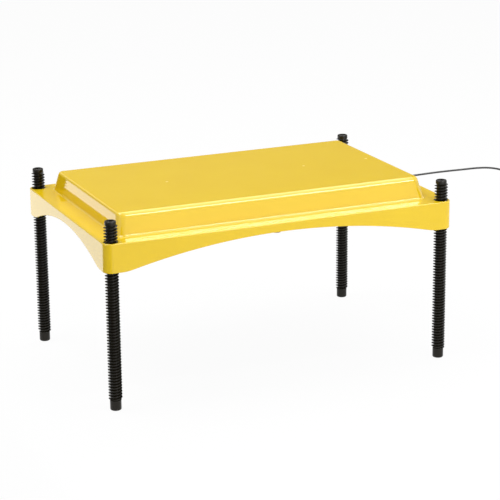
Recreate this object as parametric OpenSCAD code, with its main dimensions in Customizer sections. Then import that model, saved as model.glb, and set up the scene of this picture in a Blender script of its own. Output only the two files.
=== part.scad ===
// Brooder heater plate: a warm plate that stands over chicks on four screw legs.
// Millimetres, Z up, X along the plate, the front towards -Y, the floor at Z = 0.

/* [Body] */
// Length of the plate over its skirt
body_l = 600; // [560:5:680]
// Width of the plate over its skirt
body_w = 390; // [350:5:450]
// Wall of the cover moulding
wall = 3; // [2.4:0.1:3.6]
// Height of the ledge above the floor, as the legs are set
stand_h = 271.5; // [255:0.5:285]
// Height of the skirt at the corners
skirt_h = 46.5; // [44:0.5:52]
// Width of the flat foot of the skirt on each side of a corner
foot_w = 36; // [32:1:48]
// Rise of the arches in the skirt above its feet
arch_rise = 32; // [24:0.5:32]
// Radius of the easing where an arch runs into a foot
arch_ease = 80; // [40:5:100]

/* [Deck] */
// Height of the raised deck above the ledge
deck_h = 34; // [30:1:42]
// Width of the ledge at the two ends
end_ledge = 33.5; // [28:0.5:42]
// Width of the ledge along the two long sides
side_ledge = 30; // [28:0.5:40]
// Draft of the deck's end walls in degrees
end_draft = 8; // [3:0.5:10]
// Draft of the deck's long walls in degrees
side_draft = 24; // [12:0.5:26]
// Rounding of the deck's top edges
edge_r = 8; // [5:0.5:10]
// Rounding of the deck's corners where they meet the ledge
corner_r = 12; // [8:1:18]
// Distance of the two middle pips on the deck from its middle
pip_x = 123; // [100:1:150]
// Distance of the third pip from the deck's foot at the end with the cord
pip_end = 26.5; // [20:0.5:40]
// Diameter of a moulding pip
pip_d = 4; // [3:0.5:6]
// Height of a moulding pip
pip_h = 0.6; // [0.4:0.1:1]

/* [Legs] */
// Length of a leg
leg_l = 305; // [295:1:330]
// Diameter over the leg's thread
leg_d = 22; // [20:0.5:23]
// Diameter of the leg's plain ends
leg_tip_d = 18; // [14:0.5:18.5]
// Length of the plain foot
foot_l = 16; // [10:1:24]
// Length of the plain stub at the top
stub_l = 6; // [4:1:10]
// Bevel at both ends of a leg
leg_bevel = 1.5; // [0.5:0.5:2.5]
// Diameter of the core hole in the top of a leg
core_d = 9; // [6:0.5:10]
// Depth of that hole
core_h = 10; // [6:1:20]
// Clearance of a leg in its boss
leg_clear = 0.25; // [0.2:0.05:0.4]
// Wall of a corner boss round the leg
boss_wall = 3.25; // [2.75:0.25:6]

/* [Base plate] */
// Thickness of the base plate
plate_t = 2.5; // [2:0.1:3]
// Depth by which the warm field stands below the rim of the plate
field_drop = 1; // [0.6:0.1:1.4]
// Width of the rim round the warm field
field_rim = 24; // [20:1:40]
// Diameter of the two studs under the warm field
stud_d = 16; // [12:0.5:18]
// Height of those studs
stud_h = 11.5; // [8:0.5:14]
// Distance of the middle of a stud from the edge of the warm field
stud_edge = 9; // [9:0.5:14]
// Clearance of the base plate in the skirt
plate_clear = 1; // [0.6:0.1:1.5]
// Height of the foam seal strip between plate and ledge
seal_h = 7; // [6:0.5:8]
// Width of the seal strip
seal_w = 6; // [5:0.5:7]
// Distance of the seal strip from the deck's foot
seal_gap = 2; // [1:0.5:3]
// Diameter of a screw post
post_d = 9; // [8:0.5:10]
// Distance of a post from the seal strip
post_gap = 2.5; // [1:0.5:3]
// Distance between the posts along the long sides, as a share of the plate's length
post_share_x = 0.25; // [0.2:0.01:0.26]
// Distance between the posts along the ends, as a share of the plate's width
post_share_y = 0.44; // [0.3:0.01:0.5]
// Diameter of a screw shank
screw_d = 3; // [2.5:0.1:3.5]
// Clearance of a screw in its hole
screw_clear = 0.1; // [0.05:0.05:0.3]
// Length of a screw shank
screw_l = 8; // [7:0.5:9]
// Diameter of a screw head
head_d = 6.4; // [5.5:0.1:7]
// Height of a screw head
head_h = 2.2; // [1.5:0.1:2.5]

/* [Heater] */
// Thickness of the heating film
film_t = 0.8; // [0.5:0.1:1.2]
// Distance of the film from the deck's foot
film_inset = 18; // [12:1:30]
// Length of the wiring bay at the right-hand end
bay_l = 85; // [80:1:110]
// Width of the wiring bay
bay_w = 90; // [84:1:120]
// Clearance of the insulation board inside the deck
board_clear = 3; // [2:0.5:6]
// Thickness of the insulation board
board_t = 15; // [12:1:20]
// Diameter of the thermal cut-out
cutout_d = 16; // [12:0.5:18]
// Height of the thermal cut-out's cap
cutout_h = 7; // [5:0.5:9]
// Length, width and height of the terminal block
block_l = 18; // [14:1:20]
block_w = 24; // [20:1:28]
block_h = 14; // [12:0.5:15]
// Distance between the two terminals
pole_pitch = 10; // [8:0.5:12]
// Diameter of an inner wire
wire_d = 1.6; // [1.2:0.1:2]
// Thickness of the copper tabs on the film
tab_t = 0.5; // [0.3:0.1:0.8]

/* [Cord] */
// Diameter of the cord
cord_d = 3.2; // [2.8:0.1:3.4]
// Height of the cord above the ledge where it leaves the deck
cord_rise = 8.5; // [8:0.5:14]
// Distance of the cord from the middle of the end wall, towards the front
cord_front = 50; // [30:1:70]
// Clearance of the cord in its gland
cord_clear = 0.1; // [0.05:0.05:0.2]
// Diameter of the gland's neck in the end wall
neck_d = 8.6; // [7:0.2:10]
// Clearance of that neck in its hole
neck_clear = 0.2; // [0.1:0.05:0.3]
// Diameter of the gland's flanges
flange_d = 13; // [12:0.5:14]
// Thickness of the gland's flanges
flange_t = 2.4; // [1.8:0.1:3]
// Length of the gland's tapered tail
tail_l = 22; // [16:1:30]
// Width of the inner cord clamp along the cord
clamp_l = 10; // [8:1:12]
// Width of the clamp across the cord
clamp_w = 26; // [24:1:30]
// Thickness of the clamp bar
clamp_t = 4; // [3:0.5:5]
// Radius of the coil's innermost loop
coil_r = 13.2; // [13:0.2:15]
// Step from one loop of the coil to the next
coil_step = 3.75; // [3.75:0.05:4.2]
// Thickness of the coil's tie
tie_t = 1; // [0.8:0.1:1.4]
// Width of the tie
tie_w = 6; // [4:0.5:8]
// Clearance of the tie round the coil
tie_clear = 0.5; // [0.4:0.1:0.8]
// Diameter of the plug
plug_d = 10; // [9:0.5:12]
// Length of the plug's grip
plug_l = 18; // [14:1:24]
// Length of the plug's tapered tail
plug_tail = 14; // [10:1:20]
// Diameter of the plug's sleeve
sleeve_d = 5.5; // [5.3:0.1:6]
// Bore of the plug's sleeve
sleeve_bore = 2.5; // [2.1:0.1:2.6]
// Length of the plug's sleeve
sleeve_l = 9.5; // [8:0.5:11]
// Diameter of the shank that holds the sleeve in the plug
shank_d = 4.4; // [4:0.1:4.6]

/* [Hidden] */
$fn = 48;

yellow = "#edc640";
black = "#201e1b";

// Levels
ledge_z = stand_h;
skirt_z = ledge_z - skirt_h;
deck_z = ledge_z + deck_h;
ceiling_z = ledge_z - wall;
plate_top = ceiling_z - seal_h;
plate_low = plate_top - plate_t;
film_top = plate_top + film_t;

// Plan
boss_r = leg_d / 2 + leg_clear + boss_wall;
leg_x = body_l / 2 - boss_r;
leg_y = body_w / 2 - boss_r;
deck_l = body_l - 2 * end_ledge;
deck_w = body_w - 2 * side_ledge;
arch_x = body_l / 2 - foot_w;
arch_y = body_w / 2 - foot_w;
arch_steps = 20;
seal_in = seal_gap;
seal_out = seal_gap + seal_w;
post_off = seal_out + post_gap + post_d / 2;
post_x = deck_l / 2 + post_off;
post_y = deck_w / 2 + post_off;
post_pitch_x = post_share_x * body_l;
post_pitch_y = post_share_y * body_w;
post_spots = [for (s = [-1, 1], i = [-1.5 : 1.5]) [i * post_pitch_x, s * post_y],
              for (s = [-1, 1], i = [-0.5, 0.5]) [s * post_x, i * post_pitch_y]];

// Half length and half width of the deck at a height above the ledge, inset by a wall
function deck_hl(h, inset = 0) = deck_l / 2 - inset / cos(end_draft) - h * tan(end_draft);
function deck_hw(h, inset = 0) = deck_w / 2 - inset / cos(side_draft) - h * tan(side_draft);

// Wiring bay
cord_y = -cord_front;
cord_z = ledge_z + cord_rise;
wall_out_x = deck_hl(cord_rise - flange_d / 2);
wall_in_x = deck_hl(cord_rise + flange_d / 2, wall);
gland_tip_x = wall_out_x + flange_t + tail_l;
gland_in_x = wall_in_x - flange_t;
clamp_x = gland_in_x - clamp_l - 3;
sheath_x = clamp_x - 3;
block_x = sheath_x - 11 - block_l;
film_x0 = -deck_l / 2 + film_inset;
film_x1 = deck_l / 2 - bay_l;
film_y = deck_w / 2 - film_inset;
bay_x = film_x1 - 46;
pole_z = plate_top + 7;
cutout_x = film_x1 - 24;
cutout_y = cord_y + 20;
cutout_z = film_top + 1.5;
tab_x = film_x1 - 12;
tab_y = [cord_y - 16, cord_y + 2];
tab_top = film_top + tab_t;

// Route of the lead, from the gland to the coil on the floor
coil_c = [580, -15];
coil_layers = 4;
layer_turns = 3;
coil_turns = coil_layers * layer_turns + 0.25;
coil_out = coil_r + layer_turns * coil_step;
coil_z = tie_t + tie_clear + cord_d / 2;
plug_z = plug_d / 2;
lead_route = [[gland_tip_x, cord_y, cord_z],
    [gland_tip_x + 20, cord_y, cord_z], [340, -50, 280.5], [370, -50, 280.5], [400, -50, 280],
    [430, -50, 279.5], [455, -50, 277], [478, -50, 271], [498, -49, 260], [514, -48, 244],
    [525, -47, 223], [532, -46, 197], [536, -45, 168], [538, -44, 138], [539, -43, 108],
    [540, -42, 80], [541, -41, 55], [544, -40, 34], [551, -39.5, 17], [561, -39.4, 7.4],
    [coil_c[0] - 2 * cord_d, coil_c[1] - coil_out, coil_z],
    [coil_c[0] - cord_d, coil_c[1] - coil_out, coil_z],
    [coil_c[0], coil_c[1] - coil_out, coil_z]];

// Shared shapes

module rounded(l, w, r) {
    square([l - 2 * r, w], center = true);
    square([l, w - 2 * r], center = true);
    for (x = [-1, 1], y = [-1, 1]) translate([x * (l / 2 - r), y * (w / 2 - r)]) circle(r);
}

module slab(l, w, r, z, h) {
    translate([0, 0, z]) linear_extrude(h) rounded(l, w, r);
}

module at_legs() {
    for (x = [-1, 1], y = [-1, 1]) translate([x * leg_x, y * leg_y, 0]) children();
}

module at_posts() {
    for (p = post_spots) translate([p[0], p[1], 0]) children();
}

function unit(v) = v / norm(v);
function along(p, i) = unit(p[min(i + 1, len(p) - 1)] - p[max(i - 1, 0)]);
function ring(p, i, r, sides, up) =
    let (t = along(p, i), n = unit(cross(t, up)), b = cross(n, t))
    [for (k = [0 : sides - 1]) p[i] + r * (cos(360 * k / sides) * n + sin(360 * k / sides) * b)];

// A round tube swept along points; up is a direction that no stretch of it follows
module tube(p, d, sides, up) {
    n = len(p);
    points = [for (i = [0 : n - 1]) each ring(p, i, d / 2, sides, up)];
    skin = [for (i = [0 : n - 2], k = [0 : sides - 1])
        let (a = i * sides + k, b = i * sides + (k + 1) % sides)
        each [[a, a + sides, b], [b, a + sides, b + sides]]];
    caps = [for (k = [1 : sides - 2]) each [[0, k, k + 1],
        [(n - 1) * sides, (n - 1) * sides + k + 1, (n - 1) * sides + k]]];
    polyhedron(points, concat(skin, caps));
}

// Points on a smooth curve through a list of points
function bend(a, b, c, d, t) = 0.5 * (2 * b + (c - a) * t + (2 * a - 5 * b + 4 * c - d) * t * t
    + (3 * b - a - 3 * c + d) * t * t * t);
function smooth(p, steps) = [for (i = [0 : len(p) - 2], s = [0 : steps - 1])
        bend(p[max(i - 1, 0)], p[i], p[i + 1], p[min(i + 2, len(p) - 1)], s / steps),
    p[len(p) - 1]];

// Cover

module deck_block(inset, top, foot, top_r) {
    high = top - ledge_z;
    mid = high - top_r;
    cx = deck_hl(mid, inset) - top_r / cos(end_draft);
    cy = deck_hw(mid, inset) - top_r / cos(side_draft);
    low = foot - ledge_z;
    foot_r = corner_r - inset;
    hull() for (x = [-1, 1], y = [-1, 1]) {
        translate([x * cx, y * cy, top - top_r]) sphere(top_r, $fn = 32);
        translate([x * (deck_hl(low, inset) - foot_r), y * (deck_hw(low, inset) - foot_r), foot])
            cylinder(h = 0.02, r = foot_r, $fn = 32);
    }
}

// Cut of an arch through both walls: a wide arc that eases into the flat feet on its two sides
function arch_line(x, r, end) = let (q = arch_ease, u = abs(x))
    u < end * r / (r + q) ? arch_rise - r + sqrt(r * r - u * u) : q - sqrt(q * q - (end - u) * (end - u));

module arch(half, across) {
    r = (half * half + arch_rise * arch_rise) / (2 * arch_rise);
    end = sqrt(2 * (r + arch_ease) * arch_rise - arch_rise * arch_rise);
    edge = [for (i = [-arch_steps : arch_steps])
        let (x = end * sin(90 * i / arch_steps)) [x, arch_line(x, r, end)]];
    translate([0, 0, skirt_z]) rotate([90, 0, 0]) linear_extrude(across + 2, center = true)
        polygon(concat([[-end, -1]], edge, [[end, -1]]));
}

module skirt() {
    difference() {
        slab(body_l, body_w, boss_r, skirt_z, skirt_h);
        slab(body_l - 2 * wall, body_w - 2 * wall, boss_r - wall, skirt_z - 1, skirt_h - wall + 1);
        arch(arch_x, body_w);
        rotate([0, 0, 90]) arch(arch_y, body_l);
    }
}

module top_cover() {
    color(yellow) difference() {
        union() {
            difference() {
                union() {
                    skirt();
                    deck_block(0, deck_z, ledge_z - wall / 2, edge_r);
                }
                deck_block(wall, deck_z - wall, ceiling_z - 1, edge_r - wall);
            }
            at_legs() translate([0, 0, skirt_z]) cylinder(h = skirt_h, r = boss_r);
            at_posts() translate([0, 0, plate_top]) cylinder(h = seal_h + wall / 2, d = post_d);
            for (x = [-pip_x, pip_x, deck_l / 2 - pip_end]) translate([x, 0, deck_z - wall / 2])
                cylinder(h = wall / 2 + pip_h, d1 = pip_d * 1.2, d2 = pip_d * 0.7);
        }
        at_legs() translate([0, 0, skirt_z - 1]) cylinder(h = skirt_h + 2, r = leg_d / 2 + leg_clear);
        at_posts() translate([0, 0, plate_low - 1])
            cylinder(h = screw_l + 1.5, d = screw_d + 2 * screw_clear);
        translate([deck_hl(deck_h) - 3 * wall, cord_y, cord_z]) rotate([0, 90, 0])
            cylinder(h = 5 * wall, d = neck_d + 2 * neck_clear);
    }
}

// Base plate, its screws and the seal

module base_plate() {
    l = body_l - 2 * (wall + plate_clear);
    w = body_w - 2 * (wall + plate_clear);
    color("#2c2c2e") difference() {
        union() {
            slab(l, w, boss_r, plate_low, plate_t);
            slab(l - 2 * field_rim, w - 2 * field_rim, corner_r, plate_low - field_drop, field_drop + 1);
            translate([clamp_x, cord_y - clamp_w / 2, plate_top - 1])
                cube([clamp_l, clamp_w, cord_z - cord_d / 2 - plate_top + 1]);
        }
        at_legs() translate([0, 0, plate_low - 1]) cylinder(h = plate_t + 2, r = boss_r + plate_clear);
        at_posts() translate([0, 0, plate_low - field_drop - 1])
            cylinder(h = plate_t + field_drop + 2, d = screw_d + 2 * screw_clear);
        at_studs() translate([0, 0, -1])
            cylinder(h = plate_t + field_drop + 2, d = stud_d * 0.4 + 2 * screw_clear);
        at_clamp_screws() translate([0, 0, plate_top + 2])
            cylinder(h = cord_z, d = screw_d + 2 * screw_clear);
    }
}

// Studs that hang from the middle of the warm field's long edges, each on a peg in the plate
module at_studs() {
    edge = body_w / 2 - wall - plate_clear - field_rim;
    for (s = [-1, 1]) translate([0, s * (edge - stud_edge), plate_low - field_drop]) children();
}

module plate_studs() {
    color(yellow) at_studs() {
        translate([0, 0, -stud_h]) cylinder(h = 1, d1 = stud_d - 2, d2 = stud_d);
        translate([0, 0, 1 - stud_h]) cylinder(h = stud_h - 1, d = stud_d);
        translate([0, 0, -1]) cylinder(h = 1 + field_drop + 0.8 * plate_t, d = stud_d * 0.4);
    }
}

module screw(z) {
    translate([0, 0, z - 0.1]) cylinder(h = screw_l + 0.1, d = screw_d);
    translate([0, 0, z - head_h]) cylinder(h = head_h, d1 = head_d * 0.7, d2 = head_d);
}

module base_screws() {
    color("silver") at_posts() screw(plate_low);
}

module seal_strip() {
    color("dimgray") difference() {
        slab(deck_l + 2 * seal_out, deck_w + 2 * seal_out, corner_r + seal_out, plate_top, seal_h);
        slab(deck_l + 2 * seal_in, deck_w + 2 * seal_in, corner_r + seal_in, plate_top - 1, seal_h + 2);
    }
}

// Heater

module heating_film() {
    color("darkorange") translate([film_x0, -film_y, plate_top])
        cube([film_x1 - film_x0, 2 * film_y, film_t]);
}

module film_tabs() {
    color("peru") for (y = tab_y) translate([tab_x, y - 4, film_top]) cube([10, 8, tab_t]);
}

module insulation_board() {
    high = film_top + board_t - ledge_z;
    color("whitesmoke") difference() {
        slab(2 * (deck_hl(high, wall) - board_clear), 2 * (deck_hw(high, wall) - board_clear),
             corner_r, film_top, board_t);
        translate([bay_x, cord_y - bay_w / 2, plate_top])
            cube([body_l / 2, bay_w, deck_z]);
    }
}

module thermal_cutout() {
    color("tan") translate([cutout_x, cutout_y, 0]) {
        translate([0, 0, film_top]) cylinder(h = 1.5, d = cutout_d + 4);
        translate([0, 0, cutout_z - 0.1]) cylinder(h = cutout_h - 1, d1 = cutout_d, d2 = cutout_d - 2);
        for (s = [-1, 1]) translate([s * 4 - 1, -2, cutout_z]) cube([2, 4, cutout_h + 4]);
    }
}

module terminal_block() {
    color("ivory") difference() {
        translate([block_x, cord_y - block_w / 2, plate_top]) cube([block_l, block_w, block_h]);
        for (s = [-1, 1]) translate([block_x, cord_y + s * pole_pitch / 2, 0]) {
            translate([-1, 0, pole_z]) rotate([0, 90, 0]) cylinder(h = block_l + 2, d = wire_d + 0.4);
            translate([block_l / 2, 0, pole_z + wire_d / 2 + 1]) cylinder(h = block_h, d = 4);
        }
    }
}

module terminal_screws() {
    color("goldenrod") for (s = [-1, 1])
        translate([block_x + block_l / 2, cord_y + s * pole_pitch / 2, pole_z + wire_d / 2 + 1])
            cylinder(h = 3.5, d = 3.8);
}

// Wires inside the bay; each ends in or against what it joins
module wire(p) {
    tube(smooth(p, 6), wire_d, 8, [0.1, 0.3, 1]);
}

pole_y = [cord_y - pole_pitch / 2, cord_y + pole_pitch / 2];

module supply_wire() {
    a = [block_x - 6, pole_y[1], pole_z];
    b = [cutout_x + 20, cutout_y - 6, pole_z + 2];
    color("brown") wire([[block_x + 5, pole_y[1], pole_z], [block_x - 1, pole_y[1], pole_z],
        a, a + 0.28 * (b - a), a + 0.62 * (b - a), b, [cutout_x + 11, cutout_y, cutout_z + cutout_h + 1],
        [cutout_x + 5.2, cutout_y, cutout_z + cutout_h + 1]]);
}

module link_wire() {
    color("red") wire([[cutout_x - 5.2, cutout_y, cutout_z + cutout_h + 1],
        [cutout_x - 11, cutout_y, cutout_z + cutout_h - 1], [cutout_x - 12, cutout_y - 9, cutout_z + 4],
        [tab_x - 9, tab_y[1], tab_top + wire_d / 2 + 0.4],
        [tab_x + 1, tab_y[1], tab_top + wire_d / 2 + 0.1],
        [tab_x + 6, tab_y[1], tab_top + wire_d / 2 + 0.1]]);
}

module return_wire() {
    a = [block_x - 5, pole_y[0], pole_z];
    b = [tab_x + 9, tab_y[0], tab_top + wire_d / 2 + 0.4];
    color("royalblue") wire([[block_x + 5, pole_y[0], pole_z], [block_x - 1, pole_y[0], pole_z],
        a, a + 0.25 * (b - a), a + 0.6 * (b - a), b, [tab_x + 4, tab_y[0], tab_top + wire_d / 2 + 0.1]]);
}

module cord_cores() {
    for (s = [0, 1]) color(["royalblue", "brown"][s])
        wire([[sheath_x - 0.2, cord_y + (s - 0.5) * 1.8, cord_z],
            [sheath_x - 3, cord_y + (s - 0.5) * 2.4, cord_z],
            [sheath_x - 7, pole_y[s], (cord_z + pole_z) / 2],
            [block_x + block_l + 3, pole_y[s], pole_z], [block_x + block_l + 1, pole_y[s], pole_z],
            [block_x + block_l - 5, pole_y[s], pole_z]]);
}

module inner_cord() {
    color(black) translate([sheath_x, cord_y, cord_z]) rotate([0, 90, 0])
        cylinder(h = gland_tip_x - sheath_x, d = cord_d);
}

module at_clamp_screws() {
    for (s = [-1, 1]) translate([clamp_x + clamp_l / 2, cord_y + s * (clamp_w / 2 - 5), 0]) children();
}

module cord_clamp() {
    low = cord_z + cord_d / 2 - 1;
    color("gainsboro") difference() {
        translate([clamp_x, cord_y - clamp_w / 2, low]) cube([clamp_l, clamp_w, clamp_t]);
        translate([clamp_x - 1, cord_y, cord_z]) rotate([0, 90, 0])
            cylinder(h = clamp_l + 2, d = cord_d + 2 * cord_clear);
        at_clamp_screws() translate([0, 0, low - 1])
            cylinder(h = clamp_t + 2, d = screw_d + 2 * screw_clear);
    }
}

module clamp_screws() {
    low = cord_z + cord_d / 2 - 1 + clamp_t;
    color("silver") at_clamp_screws() translate([0, 0, low]) mirror([0, 0, 1]) screw(0);
}

// Strain relief that clips into the end wall
module cord_gland() {
    tail_d = cord_d + 1.8;
    bore = cord_d + 2 * cord_clear;
    color(black) translate([gland_in_x, cord_y, cord_z]) rotate([0, 90, 0]) difference() {
        union() {
            cylinder(h = flange_t, d = flange_d);
            cylinder(h = wall_out_x - gland_in_x + flange_t, d = neck_d);
            translate([0, 0, wall_out_x - gland_in_x]) {
                cylinder(h = flange_t, d = flange_d);
                cylinder(h = flange_t + tail_l, d1 = neck_d - 0.6, d2 = tail_d);
            }
        }
        translate([0, 0, -1]) cylinder(h = gland_tip_x - gland_in_x + 2, d = bore);
    }
}

// Cord outside the deck

module cord_lead() {
    color(black) tube(smooth(lead_route, 3), cord_d, 8, [0, 1, 0]);
}

// Radius and height of the coil after a number of turns: it spirals in and out, layer by layer
function turn_r(t) = let (k = min(floor(t / layer_turns), coil_layers - 1), u = t - k * layer_turns)
    k % 2 == 0 ? coil_out - u * coil_step : coil_r + u * coil_step;
function climb(t, k) = min(max((t - k * layer_turns + 0.25) / 0.5, 0), 1);
function turn_z(t) = coil_z + coil_step * (climb(t, 1) + climb(t, 2) + climb(t, 3));
function turn_point(t) = let (a = 360 * t - 90)
    [coil_c[0] + turn_r(t) * cos(a), coil_c[1] + turn_r(t) * sin(a), turn_z(t)];
coil_rings = 24;
coil_end = turn_point(coil_turns);
tail_run = 50;
tail_level = 14;
function ease(u) = let (v = min(max(u, 0), 1)) v * v * (3 - 2 * v);
coil_path = concat([[coil_c[0], coil_c[1] - coil_out, coil_z],
        [coil_c[0] + cord_d, coil_c[1] - coil_out, coil_z]],
    [for (i = [2 : coil_turns * coil_rings]) turn_point(i / coil_rings)],
    [for (y = [5 : 5 : tail_run]) [coil_end[0], coil_end[1] + y, coil_end[2]
        + (plug_z - coil_end[2]) * ease((y - tail_level) / (tail_run - tail_level - 2 * cord_d))]]);

// Least gap of the coil to itself, measured between its rings
near_turn = coil_rings / 2;
coil_gap = min([for (i = [0 : len(coil_path) - 1 - near_turn], j = [i + near_turn : len(coil_path) - 1])
    norm(coil_path[i] - coil_path[j])]) - cord_d;
echo("least gap of the coil to itself", coil_gap);

module cord_coil() {
    color(black) tube(coil_path, cord_d, 6, [0, 0, 1]);
}

module coil_tie() {
    deep = coil_out - coil_r + cord_d + 2 * tie_clear;
    tall = (coil_layers - 1) * coil_step + cord_d + 2 * tie_clear;
    near = coil_r - cord_d / 2 - tie_clear;
    color("dimgray") translate([coil_c[0], coil_c[1], 0]) rotate([0, 0, 135]) difference() {
        translate([near - tie_t, -tie_w / 2, 0]) cube([deep + 2 * tie_t, tie_w, tall + 2 * tie_t]);
        translate([near, -tie_w, tie_t]) cube([deep, 2 * tie_w, tall]);
    }
}

module at_plug() {
    translate([coil_end[0], coil_end[1] + tail_run, plug_z]) rotate([-90, 0, 0]) children();
}

module plug_body() {
    color(black) at_plug() difference() {
        union() {
            cylinder(h = plug_tail, d1 = cord_d + 1.8, d2 = plug_d * 0.7);
            translate([0, 0, plug_tail]) cylinder(h = plug_l - 2, d = plug_d);
            translate([0, 0, plug_tail + plug_l - 2.1]) cylinder(h = 2.1, d1 = plug_d, d2 = plug_d - 2);
        }
        translate([0, 0, plug_tail + plug_l - 6]) cylinder(h = 7, d = shank_d + 0.2);
    }
}

module plug_sleeve() {
    color("silver") at_plug() translate([0, 0, plug_tail + plug_l - 6]) difference() {
        union() {
            cylinder(h = 7, d = shank_d);
            translate([0, 0, 6.5]) cylinder(h = sleeve_l, d = sleeve_d);
        }
        translate([0, 0, 5]) cylinder(h = sleeve_l + 3, d = sleeve_bore);
    }
}

// Legs: the thread's outer form, plain ends and a core hole in the top

module leg(x, y) {
    tip = leg_tip_d / 2;
    color(black) translate([x * leg_x, y * leg_y, 0]) difference() {
        union() {
            cylinder(h = leg_bevel, r1 = tip - leg_bevel, r2 = tip);
            translate([0, 0, leg_bevel]) cylinder(h = leg_l - 2 * leg_bevel, r = tip);
            translate([0, 0, leg_l - leg_bevel]) cylinder(h = leg_bevel, r1 = tip, r2 = tip - leg_bevel);
            translate([0, 0, foot_l]) cylinder(h = leg_l - foot_l - stub_l, d = leg_d);
        }
        translate([0, 0, leg_l - core_h]) cylinder(h = core_h + 1, d = core_d);
    }
}

module leg_front_left() { leg(-1, -1); }
module leg_front_right() { leg(1, -1); }
module leg_rear_left() { leg(-1, 1); }
module leg_rear_right() { leg(1, 1); }

top_cover();
base_plate();
plate_studs();
base_screws();
seal_strip();
heating_film();
film_tabs();
insulation_board();
thermal_cutout();
terminal_block();
terminal_screws();
supply_wire();
link_wire();
return_wire();
cord_cores();
inner_cord();
cord_clamp();
clamp_screws();
cord_gland();
cord_lead();
cord_coil();
coil_tie();
plug_body();
plug_sleeve();
leg_front_left();
leg_front_right();
leg_rear_left();
leg_rear_right();
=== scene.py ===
import math

import bpy
import numpy as np
from mathutils import Matrix, Quaternion, Vector


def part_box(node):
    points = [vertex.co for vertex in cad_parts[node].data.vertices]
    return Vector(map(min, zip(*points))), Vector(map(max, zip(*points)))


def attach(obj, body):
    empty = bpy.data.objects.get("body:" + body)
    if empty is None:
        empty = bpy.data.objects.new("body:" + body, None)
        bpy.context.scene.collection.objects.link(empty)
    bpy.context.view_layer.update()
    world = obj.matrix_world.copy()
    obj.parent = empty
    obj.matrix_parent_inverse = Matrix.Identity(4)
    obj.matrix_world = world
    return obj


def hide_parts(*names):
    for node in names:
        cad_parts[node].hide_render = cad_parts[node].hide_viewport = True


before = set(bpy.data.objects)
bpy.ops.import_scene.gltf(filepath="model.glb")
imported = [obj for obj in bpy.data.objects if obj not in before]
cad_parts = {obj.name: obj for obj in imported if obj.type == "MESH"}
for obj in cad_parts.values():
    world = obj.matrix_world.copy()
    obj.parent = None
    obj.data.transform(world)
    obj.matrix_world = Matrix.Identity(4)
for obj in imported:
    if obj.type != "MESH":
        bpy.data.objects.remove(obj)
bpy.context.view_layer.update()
scene = bpy.context.scene
scene.view_settings.view_transform = "Standard"


# Camera. A long lens three metres off, to the left of the front and above the plate, rolled by
# half a degree. Its lens and place were worked out from the ends of the legs and the corners of
# the deck and the skirt.
camera_turn, camera_lift = math.radians(-23.572), math.radians(16.568)
camera_roll, camera_reach = math.radians(-0.54), 3.1375
camera_aim = Vector((0.0234, 0.0, 0.1707))
camera_side = Vector((math.sin(camera_turn) * math.cos(camera_lift),
                      -math.cos(camera_turn) * math.cos(camera_lift), math.sin(camera_lift)))
camera_data = bpy.data.cameras.new("camera")
camera_data.lens, camera_data.sensor_width = 134.54, 36.0
camera = bpy.data.objects.new("camera", camera_data)
camera.location = camera_aim + camera_reach * camera_side
camera_look = camera_side.to_track_quat("Z", "Y") @ Quaternion((0, 0, 1), camera_roll)
camera.rotation_euler = camera_look.to_euler()
scene.collection.objects.link(camera)
scene.camera = camera


# Lead. A round two-core low-voltage lead with a black PVC sheath, extruded in one length.
# It leaves the gland level, hangs down to the floor beside the plate, and its spare length is
# wound in a coil of four layers of three turns before the plug.
MM = 0.001
lead_d, lead_sides = 3.2, 14
lead_exit = (290.619, -50.0, 280.0)
lead_fall = np.array([
    lead_exit, (310.619, -50, 280), (340, -50, 280.5), (370, -50, 280.5), (400, -50, 280),
    (430, -50, 279.5), (455, -50, 277), (478, -50, 271), (498, -49, 260), (514, -48, 244),
    (525, -47, 223), (532, -46, 197), (536, -45, 168), (538, -44, 138), (539, -43, 108),
    (540, -42, 80), (541, -41, 55), (544, -40, 34), (551, -39.5, 17), (561, -39.4, 7.4),
    (573.6, -39.45, 3.1), (576.8, -39.45, 3.1), (580, -39.45, 3.1)])
fall_steps = 5
coil_middle = np.array([580.0, -15.0])
coil_inner, coil_step, coil_low = 13.2, 3.75, 3.1
coil_turns, coil_layers, layer_turns, climb_turns = 12.25, 4, 3, 0.5
coil_outer = coil_inner + coil_step * layer_turns
turn_points, first_point = 36, 3
tail_run, tail_level, tail_step, plug_z = 50.0, 14.0, 2.5, 5.0
roll_points = 8
sharp_turn = math.radians(35)


def smooth_through(points, steps):
    """Catmull-Rom curve: each span is the cubic whose end slopes are half the step between its
    neighbours."""
    p = np.concatenate([points[:1], points, points[-1:]])
    a, b, c, d = (p[k:len(p) - 3 + k, None, :] for k in range(4))
    t = np.linspace(0, 1, steps, endpoint=False)[None, :, None]
    curve = 0.5 * (2 * b + (c - a) * t + (2 * a - 5 * b + 4 * c - d) * t ** 2
                   + (3 * b - a - 3 * c + d) * t ** 3)
    return np.concatenate([curve.reshape(-1, 3), points[-1:]])


def ease(u):
    """Smooth step: 0 before 0, 1 after 1, and three u squared less two u cubed between."""
    v = np.clip(u, 0, 1)
    return v * v * (3 - 2 * v)


def wound_coil(t):
    """Points of the coil after t turns: the radius runs in and out by one step a turn, and the
    height climbs by one step over half a turn where a layer ends."""
    layer = np.minimum(np.floor(t / layer_turns), coil_layers - 1)
    u = t - layer * layer_turns
    r = np.where(layer % 2 == 0, coil_outer - u * coil_step, coil_inner + u * coil_step)
    climbs = sum(np.clip((t - k * layer_turns) / climb_turns + 0.5, 0, 1)
                 for k in range(1, coil_layers))
    a = 2 * np.pi * t - np.pi / 2
    return np.stack([coil_middle[0] + r * np.cos(a), coil_middle[1] + r * np.sin(a),
                     coil_low + coil_step * climbs], axis=1)


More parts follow.
